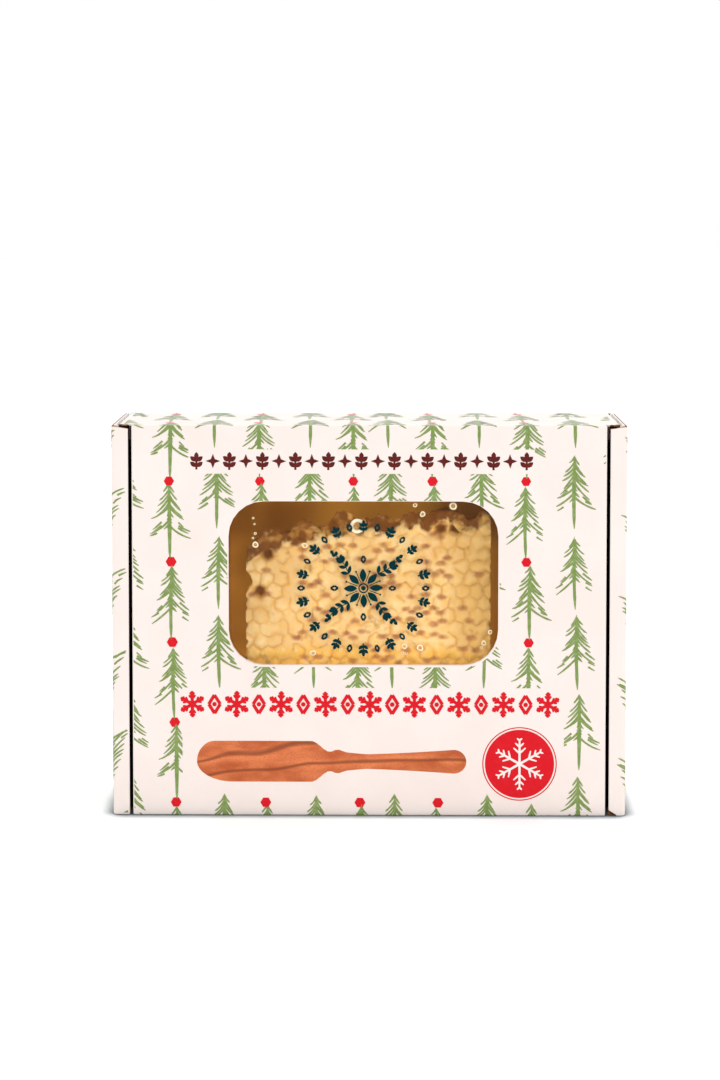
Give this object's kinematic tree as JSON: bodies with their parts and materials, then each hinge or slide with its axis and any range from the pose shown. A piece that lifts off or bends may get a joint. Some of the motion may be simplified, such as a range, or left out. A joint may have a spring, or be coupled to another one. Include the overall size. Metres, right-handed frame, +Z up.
{
  "type": "honeycomb gift carton",
  "caption": "Shut corrugated gift carton standing on its long edge, with a rounded window in its lid showing cut honeycomb in honey in a clear tub.",
  "frame": {"origin": "middle of the long narrow face that the carton stands on", "axes": "+X along the carton's width, +Y from the lid with its window towards the carton's back, +Z up"},
  "size_m": [0.184, 0.044, 0.1406],
  "materials": {
    "printed_board": "matte",
    "tub_plastic": "gloss",
    "lid_plastic": "gloss",
    "wax_comb": "waxy",
    "honey": "gloss"
  },
  "bodies": {
    "root": {"carton": "printed_board", "tub": "tub_plastic", "tub_lid": "lid_plastic", "comb": "wax_comb", "honey": "honey"}
  },
  "joints": []
}
